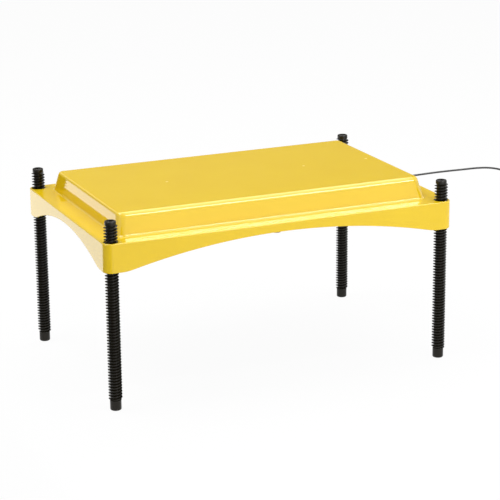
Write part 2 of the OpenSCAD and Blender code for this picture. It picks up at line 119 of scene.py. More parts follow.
def swept_tube(path, radius, up, sides):
    """Rings of points round a path: each ring lies across the path's direction, and up sets
    where it starts."""
    along = np.gradient(path, axis=0)
    along /= np.linalg.norm(along, axis=1, keepdims=True)
    across = np.cross(along, up)
    across /= np.linalg.norm(across, axis=1, keepdims=True)
    other = np.cross(along, across)
    a = np.linspace(0, 2 * np.pi, sides, endpoint=False)[None, :, None]
    ring = np.cos(a) * across[:, None, :] + np.sin(a) * other[:, None, :]
    return path[:, None, :] + radius * ring


def closed_skin(grid):
    """Points and faces of a grid whose rows are closed rings: quads between rings, and a face on
    each end."""
    rows, cols = grid.shape[:2]
    r, c = np.meshgrid(np.arange(rows - 1), np.arange(cols), indexing="ij")
    a, b = r * cols + c, r * cols + (c + 1) % cols
    quads = np.stack([a, b, b + cols, a + cols], axis=-1).reshape(-1, 4)
    last = (rows - 1) * cols
    caps = [list(range(cols - 1, -1, -1)), list(range(last, last + cols))]
    return grid.reshape(-1, 3), quads.tolist() + caps


def add_piece(name, *skins):
    """One mesh object at the origin from skins in millimetres, shaded smooth, with sharp edges
    where faces turn by more than the sharp turn."""
    points, faces = [], []
    for skin_points, skin_faces in skins:
        start = sum(len(p) for p in points)
        faces += [[k + start for k in face] for face in skin_faces]
        points.append(skin_points)
    mesh = bpy.data.meshes.new(name)
    mesh.from_pydata((np.concatenate(points) * MM).tolist(), [], faces)
    mesh.shade_smooth()
    mesh.set_sharp_from_angle(angle=sharp_turn)
    piece = bpy.data.objects.new(name, mesh)
    scene.collection.objects.link(piece)
    return piece


def linear(hex_colour):
    """An sRGB hex colour as linear red, green, blue and full alpha."""
    s = np.array([int(hex_colour[k:k + 2], 16) for k in (1, 3, 5)]) / 255
    return (*np.where(s <= 0.04045, s / 12.92, ((s + 0.055) / 1.055) ** 2.4).tolist(), 1.0)


def add_node(tree, kind, inputs=(), **settings):
    """A node of the given kind with its settings; each input gets a value, or a link from an
    output."""
    made = tree.nodes.new(kind)
    for key, value in settings.items():
        setattr(made, key, value)
    for key, value in dict(inputs).items():
        if isinstance(value, bpy.types.NodeSocket):
            tree.links.new(value, made.inputs[key])
        else:
            made.inputs[key].default_value = value
    return made


def start_material(name, **values):
    """A material with its tree and its Principled shader, whose sockets take the values given."""
    material = bpy.data.materials.new(name)
    material.use_nodes = True
    shader = material.node_tree.nodes["Principled BSDF"]
    for key, value in values.items():
        shader.inputs[key.replace("_", " ")].default_value = value
    return material, material.node_tree, shader


def grained(name, pale, dark, grain_mm, depth_mm, rough, **values):
    """A moulded or extruded finish: colour runs from pale to dark over a soft noise twelve grains
    wide, roughness runs over the same noise between two values, and a finer noise of the given
    grain and depth lifts the surface. Real grains are finer, and these are as coarse as they need
    to be to show."""
    material, tree, shader = start_material(name, **values)
    place = add_node(tree, "ShaderNodeTexCoord").outputs["Object"]
    cloud = add_node(tree, "ShaderNodeTexNoise", {
        "Vector": place, "Scale": 1 / (12 * grain_mm * MM), "Detail": 3.0}).outputs["Fac"]
    tone = add_node(tree, "ShaderNodeMix", {
        "Factor": cloud, 6: linear(pale), 7: linear(dark)}, data_type="RGBA")
    gloss = add_node(tree, "ShaderNodeMapRange", {
        "Value": cloud, "From Min": 0.3, "From Max": 0.7, "To Min": rough[0], "To Max": rough[1]})
    grit = add_node(tree, "ShaderNodeTexNoise", {
        "Vector": place, "Scale": 1 / (grain_mm * MM), "Detail": 2.0}).outputs["Fac"]
    lift = add_node(tree, "ShaderNodeBump", {
        "Height": grit, "Strength": 1.0, "Distance": depth_mm * MM})
    tree.links.new(tone.outputs[2], shader.inputs["Base Color"])
    tree.links.new(gloss.outputs["Result"], shader.inputs["Roughness"])
    tree.links.new(lift.outputs["Normal"], shader.inputs["Normal"])
    return material


lead_curve = smooth_through(lead_fall, fall_steps)
coil_start = np.array([[coil_middle[0] + lead_d, coil_middle[1] - coil_outer, coil_low]])
coil_curve = wound_coil(np.arange(first_point, round(coil_turns * turn_points)) / turn_points)
coil_end = wound_coil(np.array([coil_turns]))[0]
tail_y = np.arange(1, round(tail_run / tail_step) + 1) * tail_step
tail_share = ease((tail_y - tail_level) / (tail_run - tail_level - 2 * lead_d))
tail_curve = np.stack([np.full(len(tail_y), coil_end[0]), coil_end[1] + tail_y,
                       coil_end[2] + (plug_z - coil_end[2]) * tail_share], axis=1)
lead_path = np.concatenate([lead_curve, coil_start, coil_curve, coil_end[None], tail_curve])
# The tube's up direction is the depth along the fall and the upright along the coil, and it rolls
# from one to the other over the last points of the fall
roll = (np.arange(len(lead_path)) - len(lead_curve) + 1) / roll_points + 1
lead_share = ease(roll)[:, None]
lead_up = (1 - lead_share) * np.array([0.0, 1, 0]) + lead_share * np.array([0.0, 0, 1])
lead = add_piece("lead", closed_skin(swept_tube(lead_path, lead_d / 2, lead_up, lead_sides)))
# Extruded PVC: nearly black, with a soft sheen and the faint waviness of an extruded sheath
sheath = grained("extruded_pvc_black", "#2b2a29", "#201f1e", 1.2, 0.03, (0.36, 0.5))
lead.data.materials.append(sheath)
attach(lead, "plate")
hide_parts("cord_lead", "cord_coil")


# Coil tie. A flat strap of soft black PVC bent round the coil and closed on itself.
# It is a thin band with rounded corners, 6 mm wide, round one side of the coil.
tie_w, tie_t, tie_clear, tie_bend, tie_angle = 6.0, 1.0, 0.5, 3.0, math.radians(135)
tie_near = coil_inner - lead_d / 2 - tie_clear - tie_t
tie_deep = coil_outer - coil_inner + lead_d + 2 * (tie_clear + tie_t)
tie_tall = (coil_layers - 1) * coil_step + lead_d + 2 * (tie_clear + tie_t)


def strap_loop(deep, tall, bend, thick, wide):
    """A band whose flat section is carried round a rounded rectangle: rings of eight points, out,
    up and over."""
    quarter = np.linspace(0, np.pi / 2, 7)
    corners = [(deep - bend, bend, -np.pi / 2), (deep - bend, tall - bend, 0),
               (bend, tall - bend, np.pi / 2), (bend, bend, np.pi)]
    turn = np.concatenate([quarter + start for _, _, start in corners])
    middle = np.concatenate([np.tile((x, z), (len(quarter), 1)) for x, z, _ in corners])
    soft, half = thick * 0.3, wide / 2
    section = np.array([(0, soft - half), (0, half - soft), (soft, half), (thick - soft, half),
                        (thick, half - soft), (thick, soft - half), (thick - soft, -half),
                        (soft, -half)])
    reach = bend - section[:, 0]
    x = middle[:, :1] + np.cos(turn)[:, None] * reach
    z = middle[:, 1:] + np.sin(turn)[:, None] * reach
    return np.stack([x, np.broadcast_to(section[:, 1], x.shape), z], axis=-1)


def ring_skin(grid):
    """Points and quads of a grid that closes on itself both ways."""
    rows, cols = grid.shape[:2]
    r, c = np.meshgrid(np.arange(rows), np.arange(cols), indexing="ij")
    a, b = r * cols + c, r * cols + (c + 1) % cols
    down = ((r + 1) % rows - r) * cols
    quads = np.stack([a, b, b + down, a + down], axis=-1).reshape(-1, 4)
    return grid.reshape(-1, 3), quads.tolist()


def turned(grid, angle, x, y):
    """The grid turned about the upright through the origin, then moved along the floor."""
    c, s = math.cos(angle), math.sin(angle)
    return np.stack([x + c * grid[..., 0] - s * grid[..., 1],
                     y + s * grid[..., 0] + c * grid[..., 1], grid[..., 2]], axis=-1)


tie_grid = strap_loop(tie_deep, tie_tall, tie_bend, tie_t, tie_w) + np.array([tie_near, 0, 0])
tie = add_piece("coil_strap", ring_skin(turned(tie_grid, tie_angle, *coil_middle)))
# Soft PVC strap: dark grey and matt, with a fine drawn grain
tie.data.materials.append(
    grained("soft_pvc_strap", "#3a3a3b", "#2c2c2d", 0.8, 0.03, (0.55, 0.7)))
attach(tie, "plate")
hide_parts("coil_tie")


# Plug. A low-voltage barrel plug: a black PVC grip moulded over the end of the lead, with a ribbed
# tail, and a nickel-plated sleeve turned from brass, open at the end.
# Here and below, each pair in a spun profile is a radius and a height in millimetres.
plug_foot = np.array([coil_end[0], coil_end[1] + tail_run, plug_z])
plug_cols, tail_l, tail_thin = 40, 14, 2.45
rib_pitch, rib_depth = 2.6, 0.45
grip_thick, grip_middle, groove_half = 4.95, 22, 5.5
groove_pitch, groove_depth = 2.2, 0.22


def spun(profile, cols):
    """Surface of revolution about the upright: a ring at each radius and height of the profile."""
    a = np.linspace(0, 2 * np.pi, cols, endpoint=False)
    p = np.asarray(profile, float)
    return np.stack([p[:, :1] * np.cos(a), p[:, :1] * np.sin(a),
                     np.repeat(p[:, 1:], cols, axis=1)], axis=-1)


def laid_along_y(grid, foot):
    """The grid's upright laid along the depth of the floor, from a point."""
    return np.stack([grid[..., 0], grid[..., 2], -grid[..., 1]], axis=-1) + foot


tail_z = np.linspace(0.6, 13.4, 65)
tail_cuts = ease((np.cos(2 * np.pi * tail_z / rib_pitch) + 0.1) * 1.6)
tail_cuts = tail_cuts * (tail_z > 1.2) * (tail_z < 12.6)
tail_r = tail_thin + tail_z / tail_l - rib_depth * tail_cuts
grip_z = np.linspace(15.4, 28.6, 56)
grip_grooves = ease(np.cos(2 * np.pi * (grip_z - grip_middle) / groove_pitch) * 1.2)
grip_grooves = grip_grooves * (np.abs(grip_z - grip_middle) < groove_half)
grip_r = grip_thick - groove_depth * grip_grooves
plug_profile = [(1.7, 0.0), (2.3, 0.1), *zip(tail_r, tail_z),
                (3.4, 13.8), (4.2, 14.05), (4.7, 14.3), (4.93, 14.8), *zip(grip_r, grip_z),
                (grip_thick, 29.6), (4.8, 30.3), (4.2, 31.5), (3.9, 31.85), (3.4, 32.0),
                (2.32, 32.0), (2.3, 31.8), (2.3, 26.2)]
plug = add_piece("plug_grip", closed_skin(laid_along_y(spun(plug_profile, plug_cols), plug_foot)))
plug.data.materials.append(sheath)
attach(plug, "plate")
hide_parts("plug_body")
sleeve_profile = [(2.1, 26.1), (2.2, 26.2), (2.2, 32.4), (2.3, 32.5), (2.65, 32.5), (2.75, 32.6),
                  (2.75, 41.6), (2.6, 41.95), (2.4, 42.0), (1.4, 42.0), (1.25, 41.85),
                  (1.25, 31.2), (1.2, 31.1)]
sleeve = add_piece("plug_sleeve_turned",
                   closed_skin(laid_along_y(spun(sleeve_profile, plug_cols), plug_foot)))
# Nickel-plated brass: a pale warm metal, bright, with the rings that turning leaves. They are
# drawn about a millimetre apart to show. A wave texture of scale 1 repeats each 2 pi / 20 metres.
ring_gap = 0.9864
nickel, nickel_tree, nickel_shader = start_material("nickel_plated_brass", Metallic=1.0)
nickel_place = add_node(nickel_tree, "ShaderNodeTexCoord").outputs["Object"]
nickel_rings = add_node(nickel_tree, "ShaderNodeTexWave", {
    "Vector": nickel_place, "Scale": 2 * math.pi / (20 * ring_gap * MM), "Distortion": 0.4},
    bands_direction="Y").outputs["Fac"]
nickel_tone = add_node(nickel_tree, "ShaderNodeMix", {
    "Factor": nickel_rings, 6: linear("#cfc8bb"), 7: linear("#bdb6a8")}, data_type="RGBA")
nickel_gloss = add_node(nickel_tree, "ShaderNodeMapRange", {
    "Value": nickel_rings, "To Min": 0.18, "To Max": 0.3})
nickel_tree.links.new(nickel_tone.outputs[2], nickel_shader.inputs["Base Color"])
nickel_tree.links.new(nickel_gloss.outputs["Result"], nickel_shader.inputs["Roughness"])
sleeve.data.materials.append(nickel)
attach(sleeve, "plate")
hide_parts("plug_sleeve")


# Gland. A black nylon strain relief that clips into the hole in the end wall and grips the lead.
# Outside the wall it has a flange and a tapered tail cut into rings so that it bends with the lead.
gland_out, gland_cols = 24.4, 40
gland_thick, gland_taper = 4.0, 1.55
gland_cut_first, gland_cut_pitch, gland_cut_depth = 3.4, 3.1, 0.75
gland_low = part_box("cord_gland")[0][0] / MM
gland_mouth = lead_exit[0] - gland_out - gland_low


def laid_along_x(grid, foot):
    """The grid's upright laid along the length of the plate, from a point."""
    return np.stack([grid[..., 2], grid[..., 0], grid[..., 1]], axis=-1) + foot


gland_inside = [(1.75, 0.0), (5.9, 0.0), (6.4, 0.4), (6.45, 1.2), (6.4, 2.0), (5.9, 2.4),
                (4.3, 2.4), (4.3, gland_mouth - 0.05)]
gland_z = np.linspace(gland_cut_first, 23.6, 90)
gland_cut = ease((np.cos(2 * np.pi * (gland_z - gland_cut_first) / gland_cut_pitch) - 0.1) * 2.2)
gland_r = (gland_thick - gland_taper * gland_z / gland_out
           - gland_cut_depth * gland_cut * (1 - 0.3 * gland_z / gland_out))
gland_outside = [(6.1, 0.0), (6.45, 0.4), (6.48, 1.3), (6.3, 2.0), (5.8, 2.4), (4.2, 2.5),
                 (3.9, 2.8), *zip(gland_r, gland_z), (2.42, 24.0), (2.2, 24.35),
                 (1.9, gland_out), (1.7, 24.2)]
gland_profile = np.concatenate([gland_inside, np.array(gland_outside) + (0, gland_mouth)])
gland = add_piece("strain_relief", ring_skin(laid_along_x(
    spun(gland_profile, gland_cols), np.array([gland_low, lead_exit[1], lead_exit[2]]))))
# Moulded nylon: black with a dull sheen and a fine eroded grain
gland.data.materials.append(
    grained("moulded_nylon_black", "#262524", "#1c1b1a", 0.9, 0.03, (0.4, 0.52)))
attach(gland, "plate")
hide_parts("cord_gland")


# Cover. One injection moulding in glossy yellow ABS, 3 mm thick: a skirt arched on all four sides,
# a flat ledge, and a raised deck whose walls rise from a cove to a round brow. Corner bosses take
# the legs, posts take the base screws, and three pips stand where the mould's pins push.
body_l, body_w, wall, boss_r = 600.0, 390.0, 3.0, 14.5
skirt_z, ledge_z, deck_z = 225.0, 271.5, 305.5
deck_l, deck_w, corner_r, top_corner_r = 533.0, 330.0, 12.0, 1.6
end_lean, side_lean = math.radians(8), math.radians(24)
end_brow_r, side_brow_r, end_cove_r, side_cove_r = 5.5, 12.5, 3.0, 6.5
rim_r, lip_r, ledge_in, top_step = 1.6, 0.9, (2.2, 3.2), 2.0
ceiling_rise, ceiling_bevel, ceiling_corner_r, bevel_corner_r = 31.0, 2.0, 3.0, 4.0
arch_rise, arch_ease, long_arch, short_arch = 32.0, 80.0, 264.0, 159.0
leg_x, leg_y = body_l / 2 - boss_r, body_w / 2 - boss_r
cove_rows, brow_rows, lip_rows, rim_rows, corner_cols = 12, 11, 4, 8, 24
side_x, side_y = np.linspace(-1, 1, 145), np.linspace(-1, 1, 97)


def arch_line(x, half):
    """Height of an arch over its feet: a circle through its crown and feet, met at each foot by a
    small easing circle that runs out level."""
    r = (half ** 2 + arch_rise ** 2) / (2 * arch_rise)
    end = math.sqrt(2 * (r + arch_ease) * arch_rise - arch_rise ** 2)
    u = np.abs(x)
    crown = arch_rise - r + np.sqrt(np.maximum(r * r - u * u, 0))
    foot = arch_ease - np.sqrt(np.maximum(arch_ease ** 2 - (end - u) ** 2, 0))
    return np.where(u < end * r / (r + arch_ease), crown, np.where(u < end, foot, 0))


def rounded_rings(half_l, half_w, corner):
    """Rings of rounded rectangles, one for each row of half length, half width and corner radius:
    the four sides are sampled at the same shares on every ring and each corner is a quarter
    circle, from the front side round."""
    a, b, r = (np.asarray(v, float)[:, None] for v in (half_l, half_w, corner))
    turn = np.linspace(0, np.pi / 2, corner_cols + 1)[1:-1]
    flat_x, flat_y = side_x * (a - r), side_y * (b - r)
    xs, ys = [], []
    sides = [(flat_x, 0 * flat_x - b), (0 * flat_y + a, flat_y),
             (-flat_x, 0 * flat_x + b), (0 * flat_y - a, -flat_y)]
    for k, (sx, sy) in enumerate(((1, -1), (1, 1), (-1, 1), (-1, -1))):
        arc = turn + (k - 1) * np.pi / 2
        xs += [sides[k][0], sx * (a - r) + r * np.cos(arc)]
        ys += [sides[k][1], sy * (b - r) + r * np.sin(arc)]
    return np.concatenate(xs, axis=1), np.concatenate(ys, axis=1)


def end_share():
    """How far each column of the rings faces the ends: 1 on the end walls, 0 on the long walls,
    and the squared sine or cosine of the turn round a corner."""
    turn = np.linspace(0, np.pi / 2, corner_cols + 1)[1:-1]
    long_side, short_side = np.zeros(len(side_x)), np.ones(len(side_y))
    rise, fall = np.sin(turn) ** 2, np.cos(turn) ** 2
    return np.concatenate([long_side, rise, short_side, fall] * 2)


def deck_offsets(lean, brow_r, cove_r):
    """Outward offset and height of the deck's wall over its foot: a cove on the ledge, the leaning
    wall, a round brow that ends level on top, and a last step in along the top."""
    turn, deck_h = np.pi / 2 - lean, deck_z - ledge_z
    cove, brow = np.linspace(0, turn, cove_rows), np.linspace(lean, np.pi / 2, brow_rows)
    foot, top = cove_r * math.tan(turn / 2), brow_r * math.tan(turn / 2)
    out = np.concatenate([foot - cove_r * np.sin(cove),
                          -deck_h * math.tan(lean) - top + brow_r * np.cos(brow)])
    up = np.concatenate([cove_r - cove_r * np.cos(cove),
                         deck_h - brow_r + brow_r * np.sin(brow)])
    return np.append(out, out[-1] - top_step), np.append(up, up[-1])


def cover_shell():
    """The cover as one closed skin of rings: from the ceiling out and down the inside, round the
    arched lip, up the outside over the ledge's edge and the deck's wall to the top."""
    inner_l, inner_w = deck_l / 2 - wall, deck_w / 2 - wall
    low_rise, ceiling_z = ceiling_rise - ceiling_bevel, deck_z - wall
    inside = [(inner_l - ceiling_rise * math.tan(end_lean) - ceiling_bevel,
               inner_w - ceiling_rise * math.tan(side_lean) - ceiling_bevel,
               ceiling_corner_r, ceiling_z),
              (inner_l - low_rise * math.tan(end_lean), inner_w - low_rise * math.tan(side_lean),
               bevel_corner_r, ceiling_z - ceiling_bevel),
              (inner_l, inner_w, corner_r - wall, ledge_z - wall),
              (body_l / 2 - wall, body_w / 2 - wall, boss_r - wall, ledge_z - wall)]
    lip_turn = np.linspace(0, np.pi / 2, lip_rows)
    lip_in = np.concatenate([wall - lip_r + lip_r * np.cos(lip_turn),
                             lip_r - lip_r * np.sin(lip_turn)])
    lip_up = np.concatenate([lip_r - lip_r * np.sin(lip_turn), lip_r - lip_r * np.cos(lip_turn)])
    rim_turn = np.linspace(0, np.pi / 2, rim_rows)
    edge_in = np.concatenate([lip_in, rim_r - rim_r * np.cos(rim_turn), ledge_in])
    edge_up = np.concatenate([lip_up, ledge_z - rim_r + rim_r * np.sin(rim_turn),
                              np.full(len(ledge_in), ledge_z)])
    rows = inside + [(body_l / 2 - i, body_w / 2 - i, boss_r - i, u)
                     for i, u in zip(edge_in, edge_up)]
    half_l, half_w, corner, low = (np.array(v) for v in zip(*rows))
    end_out, end_up = deck_offsets(end_lean, end_brow_r, end_cove_r)
    side_out, side_up = deck_offsets(side_lean, side_brow_r, side_cove_r)
    brow_corner = top_corner_r + side_brow_r * np.cos(np.linspace(0, np.pi / 2, brow_rows))
    corner_out = np.concatenate([corner_r + end_out[:cove_rows], brow_corner, [top_corner_r]])
    x, y = rounded_rings(np.append(half_l, deck_l / 2 + end_out),
                         np.append(half_w, deck_w / 2 + side_out), np.append(corner, corner_out))
    share = end_share()
    deck_up = ledge_z + end_up[:, None] * share + side_up[:, None] * (1 - share)
    z = np.concatenate([np.repeat(low[:, None], len(share), axis=1), deck_up])
    first = len(inside)
    z[first:first + len(lip_in)] += skirt_z + np.where(
        np.abs(y[first]) > leg_y, arch_line(x[first], long_arch), arch_line(y[first], short_arch))
    return closed_skin(np.stack([x, y, z], axis=-1))


def cut_and_join(piece, joined, cut):
    """The piece with the joined solids added and the cut solids taken away, kept as a plain mesh
    whose normals follow its larger faces."""
    for tool, way in ((joined, "UNION"), (cut, "DIFFERENCE")):
        step = piece.modifiers.new(way, "BOOLEAN")
        step.operation, step.solver, step.object = way, "EXACT", tool
    graph = bpy.context.evaluated_depsgraph_get()
    whole = bpy.data.meshes.new_from_object(piece.evaluated_get(graph))
    piece.modifiers.clear()
    piece.data = whole
    whole.shade_smooth()
    whole.set_sharp_from_angle(angle=sharp_turn)
    for tool in (joined, cut):
        bpy.data.objects.remove(tool)
    even = piece.modifiers.new("even_shading", "WEIGHTED_NORMAL")
    even.keep_sharp = True


# Bosses and posts run up to the bury height, inside the ledge's thickness, and the tools that cut
# the bores and holes reach past the surfaces that they open
bury_z, leg_room, bore_edge, bore_past = 270.0, 11.25, 0.9, 8.5
post_low, post_r, pilot_r, pilot_deep = 261.5, 4.5, 1.55, 6.1
hole_x, hole_r, hole_l = 256.0, 4.5, 15.0
boss_cols, small_cols, hole_cols = 96, 32, 48
post_x, post_y, end_post_x, end_post_y = (-225, -75, 75, 225), 179.5, 281.0, 85.8
bore_wide, mouth = leg_room + bore_edge, np.linspace(0, math.radians(72), 6)
boss_profile = [(0.5, skirt_z + 0.1), (13.5, skirt_z + 0.1), (14.2, skirt_z + 0.4),
                (14.49, skirt_z + 1.1), (14.49, bury_z), (0.5, bury_z)]
bore_profile = [(0.5, skirt_z - 5), (bore_wide, skirt_z - 5), (bore_wide, skirt_z + 0.1),
                (leg_room, skirt_z + 1),
                *zip(bore_wide - bore_edge * np.cos(mouth),
                     ledge_z - bore_edge + bore_edge * np.sin(mouth)),
                (bore_wide, ledge_z + bore_past), (0.5, ledge_z + bore_past)]
post_profile = [(0.5, post_low), (post_r - 0.2, post_low), (post_r, post_low + 0.3),
                (post_r, bury_z), (0.5, bury_z)]
pilot_profile = [(0.5, post_low - 1), (pilot_r, post_low - 1), (pilot_r, post_low + pilot_deep),
                 (0.5, post_low + pilot_deep)]
pip_profile = np.array([(0.3, -1.5), (2.4, -1.5), (2.3, 0.0), (2.0, 0.3), (1.5, 0.52), (0.8, 0.6),
                        (0.3, 0.6)]) + (0, deck_z)
hole_profile = [(0.5, 0.0), (hole_r, 0.0), (hole_r, hole_l), (0.5, hole_l)]
hole_foot = np.array([hole_x, lead_exit[1], lead_exit[2]])
leg_spots = [(x * leg_x, y * leg_y) for x in (-1, 1) for y in (-1, 1)]
post_spots = ([(x, s * post_y) for x in post_x for s in (-1, 1)]
              + [(s * end_post_x, t * end_post_y) for s in (-1, 1) for t in (-1, 1)])
pip_spots = [(-123, 0), (123, 0), (240, 0)]


def spun_at(profile, cols, spots):
    """Closed skins of one spun profile, upright at each spot."""
    return [closed_skin(turned(spun(profile, cols), 0, x, y)) for x, y in spots]


cover = add_piece("cover", cover_shell())
cover_joined = add_piece("cover_joined", *spun_at(boss_profile, boss_cols, leg_spots),
                         *spun_at(post_profile, small_cols, post_spots),
                         *spun_at(pip_profile, small_cols, pip_spots))
cover_cut = add_piece("cover_cut", *spun_at(bore_profile, boss_cols, leg_spots),
                      *spun_at(pilot_profile, small_cols, post_spots),
                      closed_skin(laid_along_x(spun(hole_profile, hole_cols), hole_foot)))
cut_and_join(cover, cover_joined, cover_cut)
# Glossy moulded ABS: a deep warm yellow under a clear mirror-like skin, with a very slight
# orange peel
cover.data.materials.append(
    grained("moulded_abs_yellow", "#e9c61a", "#e4bf14", 6.0, 0.004, (0.045, 0.07), IOR=1.58))
# Pale ABS on the pips: a painted highlight, a pale, dull yellow that stands for the glint on each
# small dome. It goes on the faces that stand above the deck.
cover.data.materials.append(
    grained("moulded_abs_painted_highlight", "#f0d868", "#ecd25a", 1.0, 0.01, (0.2, 0.3), IOR=1.58))
pip_low = (deck_z + 0.05) * MM
face_middles = np.empty(3 * len(cover.data.polygons))
cover.data.polygons.foreach_get("center", face_middles)
on_pip = (face_middles[2::3] > pip_low).astype(np.int32)
cover.data.polygons.foreach_set("material_index", on_pip)
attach(cover, "plate")
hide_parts("top_cover")


# Base plate. A black ABS plate, 2.5 mm thick, with a raised warm field in the middle that faces
# the chicks. It closes the cover from below, and its moulded face is spark-eroded to a fine grain.
base_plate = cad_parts["base_plate"]
base_plate.data.materials.clear()
# Spark-eroded ABS: a soft black that scatters light, with a fine even grit
base_plate.data.materials.append(
    grained("spark_eroded_abs_black", "#2d2d2f", "#232325", 1.4, 0.06, (0.5, 0.62)))


# Studs. Two round studs moulded in yellow ABS, pegged into the plate at the middle of its long
# edges. They are spun, with a small bevel round the lower face and a shallow dimple in it.
stud_low, stud_y, stud_cols = 246.5, 158.0, 48
stud_profile = np.array([(0.3, 0.6), (3.0, 0.5), (3.6, 0.1), (7.0, 0.0), (7.6, 0.2), (8.0, 0.9),
                         (8.0, 11.45), (3.2, 11.48), (3.2, 14.4), (0.3, 14.5)]) + (0, stud_low)
studs = add_piece("field_studs", *spun_at(stud_profile, stud_cols, [(0, -stud_y), (0, stud_y)]))
# Moulded ABS of the studs, left dull by the mould, in a dark amber that is painted shade:
# the shade on their undersides painted into the whole stud's yellow
studs.data.materials.append(
    grained("moulded_abs_painted_shade", "#a8831c", "#967316", 1.2, 0.02, (0.35, 0.48), IOR=1.58))
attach(studs, "plate")
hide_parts("plate_studs")


# Base screws. Twelve zinc-plated pan-head screws with a cross recess, driven up through the base
# plate. Heads stand under the plate's rim, and the shanks end in the cover's posts.
plate_z, head_h, face_r, face_bulge = 259.0, 2.2, 2.2, 0.25
face_rows, screw_cols = 14, 48
cross_half_w, cross_half_l, cross_depth = 0.62, 1.75, 1.1


def pan_screw(x, y):
    """A spun head and shank; the head's face is pressed in where either arm of a cross is near.
    Each screw is turned by its own angle, as driven screws are."""
    r = np.linspace(0.05, face_r, face_rows)
    face = np.stack([r, face_bulge * (r / face_r) ** 2 - head_h], axis=1)
    side = [(2.6, -1.75), (2.95, -1.3), (3.15, -0.7), (3.2, -0.05), (3.1, 0.0)]
    shank = [(1.5, 0.02), (1.5, 7.0), (1.1, 7.9), (0.2, 8.0)]
    grid = spun(np.concatenate([face, side, shank]) + (0, plate_z), screw_cols)
    gx, gy = np.abs(grid[:face_rows, :, 0]), np.abs(grid[:face_rows, :, 1])
    near, far = np.minimum(gx, gy), np.maximum(gx, gy)
    cross = ease((cross_half_w - near) / 0.2) * ease((cross_half_l - far) / 0.5)
    grid[:face_rows, :, 2] += cross_depth * cross
    return closed_skin(turned(grid, 0.3 * x + 0.17 * y, x, y))


screws = add_piece("pan_screws", *[pan_screw(x, y) for x, y in post_spots])
# Zinc-plated steel: a cool bright grey with a slightly cloudy plating
zinc = grained("zinc_plated_steel", "#c9cbcd", "#b3b6b9", 0.6, 0.004, (0.24, 0.36), Metallic=1.0)
screws.data.materials.append(zinc)
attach(screws, "plate")
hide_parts("base_screws")


# Parts inside the housing. They stand between the base plate and the deck, out of sight, as the
# solids give them: a foam seal, the heating film with its tabs and board, the cut-out, the terminal
# block with its wires, the lead's inner end and the clamp.
blue_pvc = grained("pvc_blue", "#2a55a8", "#234992", 1.0, 0.02, (0.4, 0.52))
# Each takes the finish of its own material. Foam and board are rough and dead matt, film and metal
# have a low sheen, nylon and phenolic mouldings are satin, and the PVC of the wires is smooth.
inner_finishes = {
    "seal_strip": grained("closed_cell_foam", "#4a4a4a", "#353535", 0.9, 0.25, (0.85, 0.95)),
    "heating_film": grained("polyimide_film", "#b8741c", "#a5630f", 2.0, 0.01, (0.25, 0.4)),
    "film_tabs": grained("rolled_copper", "#c9825a", "#b36d45", 0.8, 0.01, (0.3, 0.42),
                         Metallic=1.0),
    "insulation_board": grained("glass_fibre_board", "#e3dcc6", "#cfc6aa", 2.0, 0.3,
                                (0.85, 0.95)),
    "thermal_cutout": grained("phenolic_black", "#2a2422", "#1f1a18", 1.0, 0.03, (0.35, 0.5)),
    "terminal_block": grained("moulded_nylon_white", "#e8e6de", "#dcd9cf", 1.0, 0.03,
                              (0.4, 0.55)),
    "terminal_screws": grained("turned_brass", "#c9a44c", "#b58f38", 0.6, 0.006, (0.25, 0.38),
                               Metallic=1.0),
    "supply_wire": grained("pvc_brown", "#6b4226", "#5c371f", 1.0, 0.02, (0.4, 0.52)),
    "link_wire": grained("pvc_red", "#b3241c", "#9d1d16", 1.0, 0.02, (0.4, 0.52)),
    "return_wire": blue_pvc,
    "cord_cores": blue_pvc,
    "cord_clamp": grained("moulded_nylon_grey", "#55565a", "#47484c", 1.0, 0.03, (0.42, 0.55)),
    "clamp_screws": zinc,
    "inner_cord": sheath}
for name, finish in inner_finishes.items():
    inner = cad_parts[name]
    inner.data.materials.clear()
    inner.data.materials.append(finish)


# Legs. Four black nylon screw legs, moulded with a coarse right-hand thread that runs through the
# corner bosses. Each has a plain foot below and a plain stub above, and a core hole in its top
# that keeps the moulding even.
leg_length, foot_l, stub_l = 305.0, 16.0, 6.0
thread_pitch, thread_r, root_r, tip_r = 4.75, 10.98, 7.5, 9.0
crest_half, crest_flank, crest_power, fade_l = 0.27, 0.25, 1.25, 1.5
pitch_rows, leg_cols, start_step = 20, 48, 1.3


def screw_leg(start):
    """A spun leg whose radius also turns with the height: from root to crest and back once a pitch
    along a right-hand helix, fading out at both ends of the thread."""
    thread_top = leg_length - stub_l
    thread_z = np.arange(foot_l, thread_top, thread_pitch / pitch_rows)
    foot = [(0.3, 0.0), (7.3, 0.0), (7.9, 0.25), (8.6, 0.9), (8.95, 1.7), (tip_r, 2.4),
            (tip_r, foot_l - 0.3)]
    stub = np.array([(tip_r, 0.3 - stub_l), (tip_r, -2.0), (8.9, -1.1), (8.4, -0.4), (7.6, 0.0),
                     (5.0, 0.0), (4.6, -0.2), (4.5, -0.7), (4.5, -9.8), (0.3, -10.0)])
    threaded = np.stack([np.ones(len(thread_z)), thread_z], axis=1)
    grid = spun(np.concatenate([foot, threaded, stub + (0, leg_length)]), leg_cols)
    turn = np.linspace(0, 2 * np.pi, leg_cols, endpoint=False)[None, :]
    z = thread_z[:, None]
    u = (z / thread_pitch - (turn + start) / (2 * np.pi)) % 1.0
    crest = np.clip((crest_half - np.abs(u - 0.5)) / crest_flank, 0, 1) ** crest_power
    fade = ease((z - foot_l) / fade_l) * ease((thread_top - z) / fade_l)
    thread = tip_r + fade * (root_r - tip_r + (thread_r - root_r) * crest)
    grid[len(foot):len(foot) + len(thread_z), :, :2] *= thread[..., None]
    return grid


